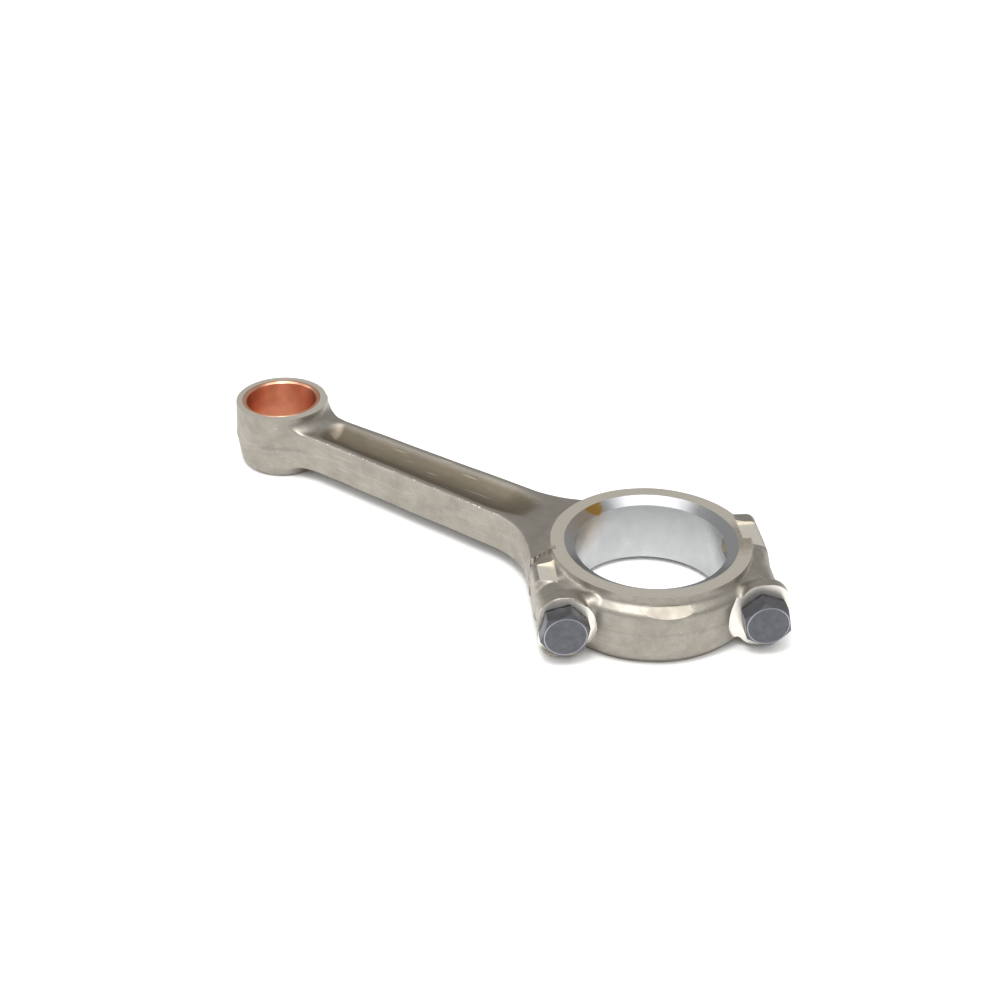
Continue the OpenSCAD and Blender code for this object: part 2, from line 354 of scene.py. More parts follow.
def black_oxide(finish):
    """Black oxide on alloy steel: near black, faintly blue, satin, rubbed thin in patches; the lighter
    band on the heads' top edges comes from another material and is a painted highlight with some
    rubbing.
    """
    material, tree, output = new_material("black_oxide_steel")
    place = add_node(tree, "ShaderNodeTexCoord").outputs["Object"]
    # Grain of the coating, 0.4 mm, and rubbed patches, 3 mm
    grain = add_node(tree, "ShaderNodeTexNoise", Vector=place, Scale=1 / (0.4 * MM),
                     Detail=3.0).outputs["Fac"]
    rub = add_node(tree, "ShaderNodeTexNoise", Vector=place, Scale=1 / (3 * MM),
                   Detail=4.0).outputs["Fac"]
    base = ramp(tree, rub, [(0.35, shade_of(finish.black_hex, 0.85)),
                            (0.6, colour(finish.black_hex)),
                            (0.8, shade_of(finish.black_hex, 1.15))])
    rough = add_node(tree, "ShaderNodeMapRange", Value=rub, From_Min=0.3, From_Max=0.7,
                     To_Min=0.46, To_Max=0.34).outputs["Result"]
    bump = add_node(tree, "ShaderNodeBump", Height=grain, Strength=0.2,
                    Distance=0.03 * MM).outputs["Normal"]
    shader = add_node(tree, "ShaderNodeBsdfPrincipled", Base_Color=base, Metallic=0.75,
                      Roughness=rough, Normal=bump)
    tree.links.new(shader.outputs[0], output.inputs[0])
    return material


def matt_floor(finish):
    """Matt pale paper: even, with a faint tooth."""
    material, tree, output = new_material("matt_paper")
    place = add_node(tree, "ShaderNodeTexCoord").outputs["Object"]
    # Paper tooth, 1 mm
    tooth = add_node(tree, "ShaderNodeTexNoise", Vector=place, Scale=1 / (1 * MM)).outputs["Fac"]
    bump = add_node(tree, "ShaderNodeBump", Height=tooth, Strength=0.05,
                    Distance=0.05 * MM).outputs["Normal"]
    shader = add_node(tree, "ShaderNodeBsdfPrincipled", Base_Color=colour(finish.floor_hex),
                      Roughness=0.9, Normal=bump)
    tree.links.new(shader.outputs[0], output.inputs[0])
    return material


# ---------------------------------------------------------------- forged skin as a distance field

def fillet_union(a, b, radius):
    """Joins two distance fields with a fillet."""
    inner = np.hypot(np.maximum(radius - a, 0), np.maximum(radius - b, 0))
    return np.maximum(radius, np.minimum(a, b)) - inner


def round_overlap(a, b, radius):
    """What two distance fields share, with the edge between them rounded by a radius."""
    outer = np.hypot(np.maximum(radius + a, 0), np.maximum(radius + b, 0))
    return np.minimum(-radius, np.maximum(a, b)) + outer


def smooth_step(low, high, value):
    """0 at low, 1 at high, with a soft start and end; low may be the larger."""
    share = np.clip((value - low) / (high - low), 0, 1)
    return share * share * (3 - 2 * share)


def flash(z):
    """Height of the trimmed flash line that runs round a forging at its parting plane."""
    return 0.32 * np.exp(-(z / 0.75) ** 2)


def unevenness(x, y, z):
    """Slow waves of a hand-ground die, a tenth of a millimetre high."""
    return 0.07 * (np.sin(x / 5.3 + 0.8 * np.sin(y / 7.1)) * np.cos(y / 6.2 + z / 4.9)
                   + np.sin(x / 11.7 - y / 8.3 + 1.3))


def split_coordinates(x, y):
    """Distances along the cap's direction of removal and along the split."""
    return x * SPLIT_X + y * SPLIT_Y, -x * SPLIT_Y + y * SPLIT_X


def big_end_field(x, y, z, sizes):
    """The big end's ring: a rim on both faces and a crown between them."""
    reach = np.hypot(x, y)
    height = np.abs(z)
    rim = reach - sizes.rim_r
    side = reach - sizes.crown_r + CROWN_DRAFT * height - flash(z)
    rim_base = HALF_W - np.where(z > 0, 3.8, 1.0)
    slope, slope_length = 0.72, 1.23
    shoulder = (height - rim_base + slope * (reach - sizes.rim_r)) / slope_length
    crown = round_overlap(side, shoulder, np.where(z > 0, 1.4, 3.0))
    return np.maximum(fillet_union(rim, crown, 1.2), height - HALF_W - 2)


def boss_field(s, z, centre, width, half_height, corner):
    """Distance to a rounded block that runs along a screw."""
    wide = np.abs(s - centre) - width / 2 + corner
    tall = np.abs(z) - half_height + corner
    outside = np.hypot(np.maximum(wide, 0), np.maximum(tall, 0))
    return outside + np.minimum(np.maximum(wide, tall), 0) - corner - 0.6 * flash(z)


def left_boss(along, across, z):
    """The left boss: a block beside the split that narrows to a round column under the head."""
    swell = smooth_step(27, 33, along)
    corner = 9.6 - 4.8 * smooth_step(4, 7, along) * smooth_step(21, 18, along)
    height = 12.3 - 0.9 * smooth_step(18, 21, along) + 4 * swell
    return boss_field(across, z, -SCREW_OFFSET, 20.6 + 0.8 * swell, height, corner)


def right_boss(along, across, z):
    """The right boss: an ear on the rod's side and a round column on the cap's side."""
    swell = smooth_step(27, 33, along)
    corner = 4.4 + 4.6 * smooth_step(1, 10, along)
    height = 12.4 - 0.8 * smooth_step(6, 14, along) + 3.8 * swell
    return boss_field(across, z, SCREW_OFFSET, 18.4 + 3 * swell, height, corner)


def lump(along, across, z, centre, radius):
    """A small round lump left on the forging."""
    return np.sqrt((along - centre[0]) ** 2 + (across - centre[1]) ** 2
                   + (z - centre[2]) ** 2) - radius


def shank_plan_field(x, y, sizes):
    """Distance to the plan outline: eye, necks, tapered shank, flares, ring and left boss."""
    neck_r, flare_r, near_r = 34, 52, 38
    flare_half = 14.5
    share = (x - SMALL_X - 28) / 115
    half = 12.2 + 2.3 * share
    edge = sizes.crown_r - 1
    to_ring = np.hypot(x, y) - edge
    to_eye = np.hypot(x - SMALL_X, y) - sizes.eye_r
    neck_y = 46.3
    neck_x = SMALL_X + math.sqrt((sizes.eye_r + neck_r) ** 2 - neck_y ** 2)
    flare_y = flare_half + flare_r
    flare_x = -math.sqrt((edge + flare_r) ** 2 - flare_y ** 2)
    near_y = -flare_half - near_r
    reach = SCREW_OFFSET + 10.3
    near_x = (-near_y * SPLIT_X - reach - near_r) / -SPLIT_Y
    sides = []
    for side in (-1, 1):
        neck = neck_r - np.hypot(x - neck_x, y - side * neck_y)
        past = side * ((x - neck_x) * neck_y - (y - side * neck_y) * side * (neck_x - SMALL_X)) < 0
        band = side * y - half
        left = np.where(past if side > 0 else ~past, to_eye, neck)
        sides.append(np.where(x < neck_x, left, band))
    across = split_coordinates(x, y)[1]
    near = near_r - np.hypot(x - near_x, y - near_y)
    beyond = (x - near_x) * SPLIT_X + (y - near_y) * SPLIT_Y > 0
    near = np.where(beyond, -across - reach, near)
    far = flare_r - np.hypot(x - flare_x, y - flare_y)
    beyond = -flare_x * (y - flare_y) + flare_y * (x - flare_x) > 0
    far = np.where(beyond, to_ring, far)
    near_side = np.where(x > near_x, near, sides[0])
    far_side = np.where(x > flare_x, far, sides[1])
    return np.maximum(near_side, far_side)


def drafted_plan(x, y, z, sizes):
    """The plan outline with the forging's draft, steeper below the eye's parting line."""
    near_eye = 1 - smooth_step(SMALL_X - 10, SMALL_X + 30, x)
    draft = 0.05 * np.abs(z) + 0.08 * near_eye * np.maximum(-z, 0)
    shifted = y + 0.28 * smooth_step(0.5, -0.5, z)
    return shank_plan_field(x, shifted, sizes) + draft - flash(z)


def shank_field(x, y, z, plan, sizes):
    """I-section shank: drafted flanges with a rounded pocket on each side of the web."""
    height = np.abs(z)
    outer = round_overlap(plan, height - sizes.flange_half, 0.9)
    to_ring = np.hypot(x, y)
    to_eye = np.hypot(x - SMALL_X, y)
    climb = sizes.flange_half - sizes.web_half + 1.5
    floor = (sizes.web_half + climb * smooth_step(84, 49, to_ring)
             + climb * smooth_step(36, 24.5, to_eye))
    wall = (plan + sizes.flange_wall + 0.55 * (sizes.flange_half - height)) / 1.14
    pocket = round_overlap(wall, floor - height, 8)
    return round_overlap(outer, -pocket, 0.9)


def eye_field(x, y, z, sizes):
    """The small end's eye: straight above the parting line, drafted and rounded below it."""
    reach = np.hypot(x - SMALL_X, y) - sizes.eye_r + 0.13 * np.maximum(-z, 0) - flash(z)
    below = round_overlap(reach, -z - HALF_W - 0.6, 3.5)
    return np.maximum(below, z - HALF_W - 2)


def rod_field(x, y, z, sizes):
    """The whole rod half of the forging, before machining."""
    along, across = split_coordinates(x, y)
    plan = drafted_plan(x, y, z, sizes)
    ring = big_end_field(x, y, z, sizes)
    left = round_overlap(left_boss(along, across, z), -16 - along, 6)
    right = round_overlap(right_boss(along, across, z), -27.5 - along, 4)
    solid = fillet_union(shank_field(x, y, z, plan, sizes), eye_field(x, y, z, sizes), 6)
    solid = fillet_union(fillet_union(solid, ring, 5), left, 5)
    crown_side = np.hypot(x, y) - sizes.crown_r + CROWN_DRAFT * np.abs(z) - flash(z)
    solid = np.maximum(solid, np.minimum(plan, crown_side))
    solid = fillet_union(solid, right, 3.5)
    solid = fillet_union(solid, lump(along, across, z, (-7.0, -44.5, 10.2), 3.9), 0.8)
    return np.maximum(solid, along - 4) + unevenness(x, y, z)


def cap_field(x, y, z, sizes):
    """The cap's forging, before machining."""
    along, across = split_coordinates(x, y)
    solid = big_end_field(x, y, z, sizes)
    for boss in (left_boss(along, across, z), right_boss(along, across, z)):
        solid = fillet_union(solid, np.maximum(boss, along - sizes.seat_height - 2), 3.5)
    for centre, radius, blend in (((1.6, -44.0, 10.4), 3.7, 0.8), ((6.0, 45.5, 9.0), 4.4, 1.5),
                                  ((34.0, -31.0, 9.5), 3.4, 2.0)):
        solid = fillet_union(solid, lump(along, across, z, centre, radius), blend)
    return np.maximum(solid, -4 - along) + unevenness(x, y, z)


def net_surface(field, lowest, step):
    """Vertices and quads of a surface net where a field on a regular grid crosses zero."""
    inside = field < 0
    cell_shape = np.array(field.shape) - 1
    ids, points, quads = [], [], []
    for axis in range(3):
        low = [slice(None)] * 3
        high = [slice(None)] * 3
        low[axis] = slice(0, -1)
        high[axis] = slice(1, None)
        starts = inside[tuple(low)]
        ends = inside[tuple(high)]
        edges = np.argwhere(starts != ends)
        a = field[tuple(low)][tuple(edges.T)]
        b = field[tuple(high)][tuple(edges.T)]
        point = edges.astype(np.float64)
        point[:, axis] += a / (a - b)
        second, third = (axis + 1) % 3, (axis + 2) % 3
        corners = []
        for back_second, back_third in ((1, 1), (0, 1), (0, 0), (1, 0)):
            cell = edges.copy()
            cell[:, second] -= back_second
            cell[:, third] -= back_third
            flat = np.ravel_multi_index(tuple(cell.T), tuple(cell_shape))
            corners.append(flat)
            ids.append(flat)
            points.append(point)
        quad = np.stack(corners, 1)
        outward = starts[tuple(edges.T)]
        quad[~outward] = quad[~outward][:, ::-1]
        quads.append(quad)
    ids = np.concatenate(ids)
    cells, index = np.unique(ids, return_inverse=True)
    points = np.concatenate(points)
    count = np.bincount(index)
    mean = np.stack([np.bincount(index, points[:, k]) / count for k in range(3)], 1)
    faces = np.searchsorted(cells, np.concatenate(quads))
    return np.array(lowest) + mean * step, faces


def skin_object(name, field, low, high, step, to_world=None):
    """Mesh object of a distance field's zero surface inside a box, in millimetres."""
    axes = [np.arange(low[k], high[k] + step, step, dtype=np.float32) for k in range(3)]
    a, b, c = np.meshgrid(*axes, indexing="ij", sparse=True)
    x, y = (a, b) if to_world is None else to_world(a, b)
    x, y, c = np.broadcast_arrays(x, y, c)
    verts, faces = net_surface(field(x, y, c).astype(np.float32), low, step)
    if to_world is not None:
        verts[:, 0], verts[:, 1] = to_world(verts[:, 0], verts[:, 1])
    mesh = bpy.data.meshes.new(name)
    mesh.from_pydata((verts * MM).tolist(), [], faces.tolist())
    mesh.validate()
    piece = bpy.data.objects.new(name, mesh)
    bpy.context.scene.collection.objects.link(piece)
    return piece


# ---------------------------------------------------------------- mesh helpers

def mesh_object(name, mesh_builder):
    """Scene object from a bmesh whose vertices are in millimetres."""
    mesh = bpy.data.meshes.new(name)
    bmesh.ops.recalc_face_normals(mesh_builder, faces=mesh_builder.faces)
    bmesh.ops.scale(mesh_builder, vec=(MM, MM, MM), verts=mesh_builder.verts)
    mesh_builder.to_mesh(mesh)
    mesh_builder.free()
    piece = bpy.data.objects.new(name, mesh)
    bpy.context.scene.collection.objects.link(piece)
    return piece


def turned(matrix, radius, angle, z):
    """A point at a radius and an angle about a matrix's local Z."""
    return matrix @ Vector((radius * math.cos(angle), radius * math.sin(angle), z))


def bridge(builder, rings):
    """Adds the quads between each ring of vertices and the next, and returns them band by band."""
    bands = []
    for lower, upper in zip(rings, rings[1:]):
        after = zip(lower[1:] + lower[:1], upper[1:] + upper[:1])
        bands.append([builder.faces.new([a, b, c, d])
                      for (a, d), (b, c) in zip(zip(lower, upper), after)])
    return bands


def lathe(profile, segments=192, matrix=Matrix.Identity(4)):
    """Closed solid of revolution about local Z from (radius, z) points, listed upwards outside."""
    builder = bmesh.new()
    rings = []
    for radius, z in profile:
        if radius < 1e-6:
            rings.append([builder.verts.new(matrix @ Vector((0, 0, z)))])
            continue
        rings.append([builder.verts.new(turned(matrix, radius, 2 * math.pi * i / segments, z))
                      for i in range(segments)])
    closed = zip(rings, rings[1:] + rings[:1])
    for lower, upper in closed:
        if len(lower) == 1 and len(upper) == 1:
            continue
        for i in range(segments):
            j = (i + 1) % segments
            corners = [lower[i % len(lower)], lower[j % len(lower)],
                       upper[j % len(upper)], upper[i % len(upper)]]
            builder.faces.new(list(dict.fromkeys(corners)))
    return builder


def prism(points, low, high, matrix=Matrix.Identity(4)):
    """Closed prism of a plan outline between two heights along local Z."""
    builder = bmesh.new()
    lower = [builder.verts.new(matrix @ Vector((x, y, low))) for x, y in points]
    upper = [builder.verts.new(matrix @ Vector((x, y, high))) for x, y in points]
    builder.faces.new(lower[::-1])
    builder.faces.new(upper)
    bridge(builder, [lower, upper])
    return builder


def cut(piece, builder, material):
    """Cuts a piece with a solid, whose faces leave their finish behind."""
    cutter = mesh_object("cutter", builder)
    cutter.data.materials.append(material)
    modifier = piece.modifiers.new("cut", "BOOLEAN")
    modifier.operation = "DIFFERENCE"
    modifier.solver = "MANIFOLD"
    modifier.object = cutter
    modifier.material_mode = "TRANSFER"
    apply_modifiers(piece)
    mesh = cutter.data
    bpy.data.objects.remove(cutter)
    bpy.data.meshes.remove(mesh)
    if len(piece.data.polygons) < 10:
        raise RuntimeError(f"cutting {piece.name} left nothing of it")


def apply_modifiers(piece):
    """Replaces a piece's mesh by what its modifiers make of it."""
    graph = bpy.context.evaluated_depsgraph_get()
    made = bpy.data.meshes.new_from_object(piece.evaluated_get(graph))
    old = piece.data
    piece.modifiers.clear()
    piece.data = made
    bpy.data.meshes.remove(old)


def shade_by_finish(piece, forged_slots=(0,), angle=MACHINED_ANGLE):
    """Smooth shading, with hard edges where finishes meet and at the angles of machined faces."""
    mesh = piece.data
    builder = bmesh.new()
    builder.from_mesh(mesh)
    limit = math.radians(angle)
    for face in builder.faces:
        face.smooth = True
    for edge in builder.edges:
        if len(edge.link_faces) != 2:
            continue
        one, other = (face.material_index for face in edge.link_faces)
        if one != other:
            edge.smooth = False
        elif one not in forged_slots and edge.calc_face_angle(0) > limit:
            edge.smooth = False
    builder.to_mesh(mesh)
    builder.free()


def mark_pocket_shade_and_edges(piece, sizes):
    """Stores how far each vertex lies in a pocket, for the painted shade there, and on a flange's edge.
    """
    mesh = piece.data
    spots = np.empty(len(mesh.vertices) * 3)
    mesh.vertices.foreach_get("co", spots)
    x, y, z = spots.reshape(-1, 3).T / MM
    plan = drafted_plan(x, y, z, sizes)
    # Pocket mask, used for the painted shade in the pockets
    inside = smooth_step(-1.2, -4.0, plan) * smooth_step(sizes.flange_half, 7.0, np.abs(z))
    outside_ends = (np.hypot(x, y) > 49) * (np.hypot(x - SMALL_X, y) > 24.2)
    near = np.exp(-(plan + 0.6) ** 2 - ((np.abs(z) - 9.0) / 0.9) ** 2)
    for name, values in (("pocket_shade", inside), ("edge", near)):
        layer = mesh.attributes.new(name, "FLOAT", "POINT")
        layer.data.foreach_set("value", values * outside_ends)


def finish_piece(piece, body, node):
    """Lets a piece ride on its body in place of its CAD node."""
    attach(piece, body)
    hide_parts(node)


def split_matrix():
    """Local X along the cap's direction of removal, local Y along the split, local Z up."""
    return Matrix(((SPLIT_X, -SPLIT_Y, 0, 0), (SPLIT_Y, SPLIT_X, 0, 0), (0, 0, 1, 0), (0, 0, 0, 1)))


def screw_matrix(side):
    """Local Z along a screw towards its head, local Y along the split, from the split's plane."""
    turn = Matrix.Rotation(math.radians(90), 4, "Y")
    return split_matrix() @ Matrix.Translation((0, side * SCREW_OFFSET, 0)) @ turn


# ---------------------------------------------------------------- machining of the rod and the cap

def bore_profile(sizes):
    """Crankpin bore with a wide chamfer at both mouths."""
    deep = HALF_W - sizes.mouth_depth
    over = (sizes.mouth_r - BIG_BORE_R) / sizes.mouth_depth * 1.5
    return [(0, -HALF_W - 1.5), (sizes.mouth_r + over, -HALF_W - 1.5), (BIG_BORE_R, -deep),
            (BIG_BORE_R, deep), (sizes.mouth_r + over, HALF_W + 1.5), (0, HALF_W + 1.5)]


def split_outline(side):
    """Outline of everything on one side of the serrated split, in split coordinates."""
    half_depth = 0.5
    teeth = [(half_depth if i % 2 == 0 else -half_depth, float(i)) for i in range(-60, 61)]
    return [(side * 90, -60)] + teeth + [(side * 90, 60)]


def machine_faces(piece, machined):
    """Faces both sides of the ends."""
    for side in (-1, 1):
        low, high = sorted((side * HALF_W, side * (HALF_W + 20)))
        cut(piece, prism([(-260, -90), (110, -90), (110, 90), (-260, 90)], low, high), machined)


def machine_flat(piece, milled, side, inner, start, end, height):
    """Mills a flat on top of a screw boss, outside a given distance from the bore's centre line."""
    outline = [(start, side * inner), (end, side * inner), (end, side * 75), (start, side * 75)]
    cut(piece, prism(outline, height, 40, split_matrix()), milled)


def tang_notch(side):
    """Notch for a bearing shell's tang, on one side of the split."""
    length, past_split, half_width, middle = 4.5, 0.6, 3.2, 9.5
    inner, outer = BIG_BORE_R - 2, BIG_BORE_R + 1.9
    start, end = sorted((0, side * length))
    start -= past_split
    end += past_split
    outline = [(start, inner), (end, inner), (end, outer), (start, outer)]
    return prism(outline, middle - half_width, middle + half_width, split_matrix())


class ROD_OT_body(Operator):
    """Build the rod's forging with its eye, shank and half of the big end"""

    bl_idname = "rod.body"
    bl_label = "Rod body"

    def execute(self, context):
        """Draws the forged skin and machines it."""
        sizes = in_millimetres(context.scene.rod_sizes)
        stuff = materials()
        piece = skin_object("rod_forging", lambda x, y, z: rod_field(x, y, z, sizes),
                            (SMALL_X - 26, -62, -HALF_W - 3), (56, 68, HALF_W + 3), sizes.grid_step)
        piece.data.materials.append(stuff["forged"])
        machine_faces(piece, stuff["rim"])
        cut(piece, prism(split_outline(1), -40, 40, split_matrix()), stuff["broached"])
        cut(piece, lathe(bore_profile(sizes)), stuff["bore"])
        cut(piece, tang_notch(-1), stuff["milled"])
        machine_flat(piece, stuff["pad"], 1, 40.5, -18, 9, 11.4)
        eye = Matrix.Translation((SMALL_X, 0, 0))
        cut(piece, lathe([(0, -30), (BUSH_OD_R, -30), (BUSH_OD_R, 30), (0, 30)], matrix=eye),
            stuff["bore"])
        for side, depth in ((-1, 29), (1, 60)):
            hole = [(0, -depth), (6.35, -depth), (6.35, 20), (0, 20)]
            cut(piece, lathe(hole, 64, screw_matrix(side)), stuff["milled"])
        shade_by_finish(piece)
        mark_pocket_shade_and_edges(piece, sizes)
        finish_piece(piece, "rod", "rod_body")
        return {"FINISHED"}


class ROD_OT_cap(Operator):
    """Build the bearing cap with its screw seats"""

    bl_idname = "rod.cap"
    bl_label = "Bearing cap"

    def execute(self, context):
        """Draws the forged skin on a grid square to the split and machines it."""
        sizes = in_millimetres(context.scene.rod_sizes)
        stuff = materials()

        def to_world(along, across):
            return (along * SPLIT_X - across * SPLIT_Y, along * SPLIT_Y + across * SPLIT_X)

        piece = skin_object("cap_forging", lambda x, y, z: cap_field(x, y, z, sizes),
                            (-6, -60, -HALF_W - 3), (53, 60, HALF_W + 3), sizes.grid_step, to_world)
        piece.data.materials.append(stuff["forged"])
        machine_faces(piece, stuff["rim"])
        cut(piece, prism(split_outline(-1), -40, 40, split_matrix()), stuff["broached"])
        cut(piece, lathe(bore_profile(sizes)), stuff["bore"])
        cut(piece, tang_notch(1), stuff["milled"])
        machine_flat(piece, stuff["pad"], -1, 44.0, 7.5, 22, 11.6)
        machine_flat(piece, stuff["pad"], 1, 40.5, -18, 2, 11.4)
        self.mill_crown(piece, sizes, stuff["ground"])
        for start in (0.6, 1.6, 2.6):
            stroke = [(start, -45.8), (start + 0.35, -45.8), (start + 0.35, -42.4), (start, -42.4)]
            cut(piece, prism(stroke, 13.2, 20, split_matrix()), stuff["ground"])
        for side, seat_r in ((-1, 14.0), (1, 16.2)):
            hole = [(0, -20), (6.6, -20), (6.6, 60), (0, 60)]
            cut(piece, lathe(hole, 64, screw_matrix(side)), stuff["milled"])
            seat = [(0, sizes.seat_height), (seat_r, sizes.seat_height), (seat_r, 80), (0, 80)]
            cut(piece, lathe(seat, 96, screw_matrix(side)), stuff["seat"])
        shade_by_finish(piece)
        finish_piece(piece, "cap", "bearing_cap")
        return {"FINISHED"}

    def mill_crown(self, piece, sizes, milled):
        """Mills the slanting flat that balances the rod."""
        tilt = (split_matrix() @ Matrix.Translation((sizes.crown_r - 1, -2, HALF_W - 6.8))
                @ Matrix.Rotation(math.radians(40), 4, "Y"))
        cut(piece, prism([(-5, -30), (30, -30), (30, 30), (-5, 30)], -0.95, 30, tilt), milled)


class ROD_OT_bush(Operator):
    """Build the small end's bush"""

    bl_idname = "rod.bush"
    bl_label = "Small end bush"

    def execute(self, context):
        """Turns the bush with its chamfered edges."""
        stuff = materials()
        edge = 0.7
        profile = [(BUSH_OD_R - 0.25, -HALF_W), (BUSH_OD_R, -HALF_W + 0.25),
                   (BUSH_OD_R, HALF_W - 0.25), (BUSH_OD_R - 0.25, HALF_W),
                   (PIN_BORE_R + edge, HALF_W), (PIN_BORE_R, HALF_W - edge),
                   (PIN_BORE_R, -HALF_W + edge), (PIN_BORE_R + edge, -HALF_W)]
        piece = mesh_object("bush", lathe(profile, 192))
        piece.location.x = SMALL_X * MM
        context.view_layer.update()
        piece.data.materials.append(stuff["bronze"])
        shade_by_finish(piece, forged_slots=())
        finish_piece(piece, "rod", "small_end_bush")
        return {"FINISHED"}


class ROD_OT_screws(Operator):
    """Build both cap screws with their threads"""

    bl_idname = "rod.screws"
    bl_label = "Cap screws"

    def execute(self, context):
        """Models each screw and lets it ride on its own body."""
        sizes = in_millimetres(context.scene.rod_sizes)
        stuff = materials()
        for side, name, turn in ((-1, "left", 44.5), (1, "right", 10.0)):
            piece = self.screw(f"{name}_cap_screw", sizes, side, turn)
            # Second slot: the lighter band on the heads' top edge, a painted highlight with some
            # rubbing
            for finish in ("black", "rubbed_and_highlit"):
                piece.data.materials.append(stuff[finish])
            shade_by_finish(piece, forged_slots=(), angle=HEAD_ANGLE)
            finish_piece(piece, f"{name}_screw", f"cap_screw_{name}")
        return {"FINISHED"}

    def screw(self, name, sizes, side, turn):
        """Hexagon head, washer face, plain shank and thread, joined in one mesh."""
        place = screw_matrix(side) @ Matrix.Translation((0, 0, sizes.seat_height))
        head = self.head(sizes, place @ Matrix.Rotation(math.radians(turn), 4, "Z"))
        piece = mesh_object(name, head)
        shank = mesh_object("shank", self.shank(sizes, place))
        join(piece, shank)
        return piece

    def head(self, sizes, place):
        """Hexagon with a chamfered top: each corner's fall is worked out from the chamfer cone."""
        builder = bmesh.new()
        flat = sizes.head_af / 2
        chamfer_r = flat * 0.94
        washer_r, washer_h = flat - 0.35, 0.6
        highlit_band_w = 0.3
        sixth = math.radians(60)
        slope = math.tan(sixth / 2)
        steps = 6 * 16
        levels = ("foot", "washer", "skirt", "shoulder", "worn", "top", "centre")
        rings = []
        for level in levels:
            ring = []
            for i in range(steps):
                angle = sixth * i * 6 / steps
                hexagon = flat / math.cos((angle % sixth) - sixth / 2)
                radius, z = {
                    "foot": (washer_r, 0), "washer": (washer_r, washer_h),
                    "skirt": (hexagon, washer_h),
                    "shoulder": (hexagon, sizes.head_h - (hexagon - chamfer_r) * slope),
                    "worn": (chamfer_r + highlit_band_w, sizes.head_h - highlit_band_w * slope),
                    "top": (chamfer_r - 0.15, sizes.head_h),
                    "centre": (chamfer_r * 0.5, sizes.head_h),
                }[level]
                ring.append(builder.verts.new(turned(place, radius, angle, z)))
            rings.append(ring)
        # The band where the chamfer meets the top face gets the lighter finish: a painted highlight on
        # that edge, with some rubbing of the oxide
        for face in bridge(builder, rings)[levels.index("worn")]:
            face.material_index = 1
        builder.faces.new(rings[-1])
        builder.faces.new(rings[0][::-1])
        return builder

    def shank(self, sizes, place):
        """Plain shank and a right-handed thread, as rings that turn with the helix."""
        builder = bmesh.new()
        crest, root, tip_r = 6.3, 5.55, 5.1
        steps = 48
        per_pitch = 12
        thread_length, runout = 34, 2.0
        tip = -sizes.screw_length
        thread_top = tip + thread_length
        rows = [(0.2, False), (thread_top, False)]
        count = int(thread_length / THREAD_PITCH * per_pitch)
        rows += [(thread_top - i * THREAD_PITCH / per_pitch, True) for i in range(1, count)]
        rings = []
        for z, threaded in rows:
            ring = []
            for k in range(steps):
                angle = 2 * math.pi * k / steps
                radius = crest
                if threaded:
                    phase = (z / THREAD_PITCH - k / steps) % 1.0
                    wave = abs(phase - 0.5) * 2
                    fade = min((thread_top - z) / runout, 1.0)
                    radius = crest - (crest - root) * fade * min(max(1.15 * wave - 0.08, 0), 1)
                    radius = min(radius, tip_r + z - tip)
                ring.append(builder.verts.new(turned(place, radius, angle, z)))
            rings.append(ring)
        bridge(builder, rings)
        builder.faces.new(rings[0])
        builder.faces.new(rings[-1][::-1])
        return builder


def join(piece, other):
    """Adds another object's mesh to a piece."""
    builder = bmesh.new()
    builder.from_mesh(piece.data)
    builder.from_mesh(other.data)
    builder.to_mesh(piece.data)
    builder.free()
    bpy.data.objects.remove(other)


# ---------------------------------------------------------------- stage

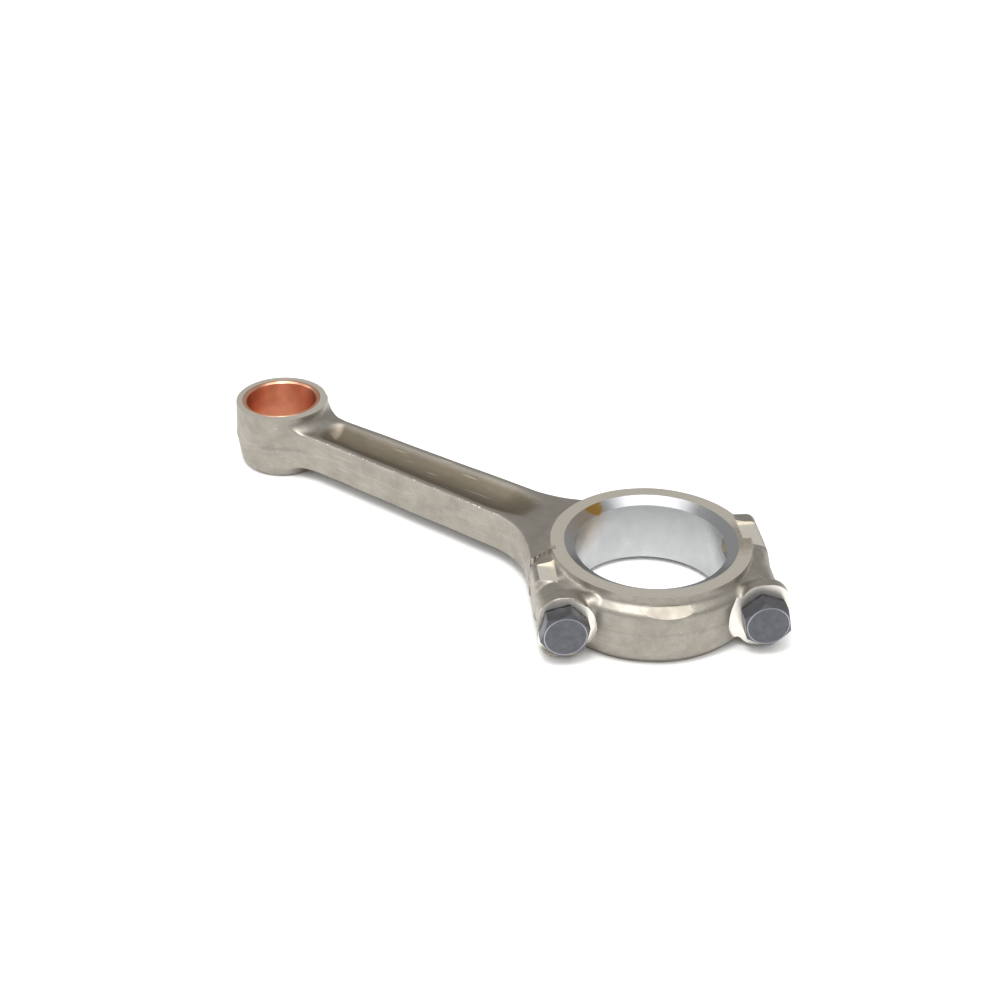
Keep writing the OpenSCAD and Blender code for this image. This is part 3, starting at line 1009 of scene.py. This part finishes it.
class ROD_OT_stage(Operator):
    """Build the pale floor, the soft lights and the camera"""

    bl_idname = "rod.stage"
    bl_label = "Stage"

    def execute(self, context):
        """Lays the floor under the rod and aims the lights and the camera."""
        scene = context.scene
        scene.view_settings.view_transform = "Standard"
        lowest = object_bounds()[0].z / MM
        half = 6000.0
        gap = 0.2
        thickness = 5.0
        corners = [(-half, -half), (half, -half), (half, half), (-half, half)]
        floor = mesh_object("floor", prism(corners, lowest - gap - thickness, lowest - gap))
        floor.data.materials.append(matt_floor(scene.rod_finish))
        floor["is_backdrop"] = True
        self.key(scene)
        self.light("overhead_softbox", (0.135, -0.484, 1.04), (-0.15, 0, 0), 0.3, 5)
        self.light("left_softbox", (-1.1, -0.9, 0.35), (-0.08, 0, 0), 0.9, 6)
        self.world(scene)
        self.camera(scene)
        return {"FINISHED"}

    def key(self, scene):
        """A broad soft key from in front and above, even over the whole floor."""
        data = bpy.data.lights.new("key", "SUN")
        data.energy = 2.7
        data.angle = math.radians(70)
        lamp = bpy.data.objects.new("key", data)
        lamp.rotation_euler = Vector((-0.25, 0.35, -1)).to_track_quat("-Z", "Y").to_euler()
        scene.collection.objects.link(lamp)

    def light(self, name, place, aim, size, power):
        """A square softbox that faces a point."""
        data = bpy.data.lights.new(name, "AREA")
        data.shape = "SQUARE"
        data.size = size
        data.energy = power
        lamp = bpy.data.objects.new(name, data)
        lamp.location = place
        lamp.rotation_euler = (Vector(aim) - Vector(place)).to_track_quat("-Z", "Y").to_euler()
        bpy.context.scene.collection.objects.link(lamp)

    def world(self, scene):
        """An even white surround."""
        world = bpy.data.worlds.new("studio")
        world.use_nodes = True
        background = world.node_tree.nodes["Background"]
        background.inputs["Color"].default_value = (1, 1, 1, 1)
        background.inputs["Strength"].default_value = 0.46
        scene.world = world

    def camera(self, scene):
        """Long lens from the front right, looking down on the rod."""
        azimuth, elevation, roll = math.radians(36.2), math.radians(31.63), math.radians(0.34)
        distance = 0.8102
        aim = Vector((-0.0891, 0.0092, 0.0))
        back = Vector((math.sin(azimuth) * math.cos(elevation),
                       -math.cos(azimuth) * math.cos(elevation), math.sin(elevation)))
        data = bpy.data.cameras.new("camera")
        data.sensor_width = 36
        data.lens = 61.54
        data.clip_end = 50
        camera = bpy.data.objects.new("camera", data)
        turn = (-back).to_track_quat("-Z", "Y").to_matrix() @ Matrix.Rotation(roll, 3, "Z")
        camera.matrix_world = Matrix.Translation(aim + back * distance) @ turn.to_4x4()
        scene.collection.objects.link(camera)
        scene.camera = camera


_materials = {}


def materials():
    """The finishes of all pieces, made once."""
    if not _materials:
        finish = bpy.context.scene.rod_finish
        looks = {
            "rim": ("ground_steel", {
                "hex": "#E0D9CC", "pitch": 0.6, "rough": 0.42, "wear": 0.10, "pitted": True}),
            "bore": ("bored_steel", {
                "hex": "#B6B7B8", "pitch": 0.5, "rough": 0.30, "wear": 0.05, "grain": 0.7,
                "stained": True}),
            "milled": ("milled_steel", {
                "hex": finish.machined_hex, "pitch": 0.8, "rough": 0.42, "wear": 0.12}),
            "broached": ("broached_steel", {
                "hex": "#A5A097", "pitch": 0.5, "rough": 0.50, "wear": 0.15}),
            "ground": ("hand_ground_steel", {
                "hex": "#A39D92", "pitch": 1.2, "rough": 0.55, "wear": 0.2}),
            "pad": ("milled_pads", {
                "hex": "#E2DDD2", "pitch": 0.9, "rough": 0.50, "wear": 0.08}),
            "seat": ("spot_faced_steel", {
                "hex": "#E4E0D8", "pitch": 0.5, "rough": 0.32, "wear": 0.06}),
            # Lighter finish for the heads' top edge: a painted highlight, with some rubbing
            "rubbed_and_highlit": ("rubbed_oxide_and_painted_highlight", {
                "hex": "#9A9BA0", "pitch": 0.5, "rough": 0.35, "wear": 0.2}),
        }
        for key, (name, look) in looks.items():
            _materials[key] = machined_steel(finish, name, look)
        _materials["forged"] = forged_steel(finish)
        _materials["bronze"] = bronze(finish)
        _materials["black"] = black_oxide(finish)
    return _materials


class ROD_PT_panel(Panel):
    """Lists the pieces in the order in which they are built"""

    bl_idname = "ROD_PT_panel"
    bl_label = "Connecting rod"
    bl_space_type = "VIEW_3D"
    bl_region_type = "UI"
    bl_category = "Rod"

    def draw(self, context):
        """Draws the settings and one button for each piece."""
        for group in (context.scene.rod_sizes, context.scene.rod_finish):
            for name in group.bl_rna.properties.keys():
                if name not in ("rna_type", "name"):
                    self.layout.prop(group, name)
        for operator in OPERATORS:
            self.layout.operator(operator.bl_idname)


OPERATORS = (ROD_OT_body, ROD_OT_cap, ROD_OT_bush, ROD_OT_screws, ROD_OT_stage)
CLASSES = (RodSizes, RodFinish, *OPERATORS, ROD_PT_panel)


def register():
    """Registers the classes and the scene's settings."""
    for item in CLASSES:
        bpy.utils.register_class(item)
    bpy.types.Scene.rod_sizes = PointerProperty(type=RodSizes)
    bpy.types.Scene.rod_finish = PointerProperty(type=RodFinish)


def unregister():
    """Takes the classes and the settings away again."""
    del bpy.types.Scene.rod_finish
    del bpy.types.Scene.rod_sizes
    for item in reversed(CLASSES):
        bpy.utils.unregister_class(item)


def main():
    """Builds every piece in order."""
    register()
    bpy.ops.rod.body()
    bpy.ops.rod.cap()
    bpy.ops.rod.bush()
    bpy.ops.rod.screws()
    bpy.ops.rod.stage()


if __name__ == "__main__":
    main()
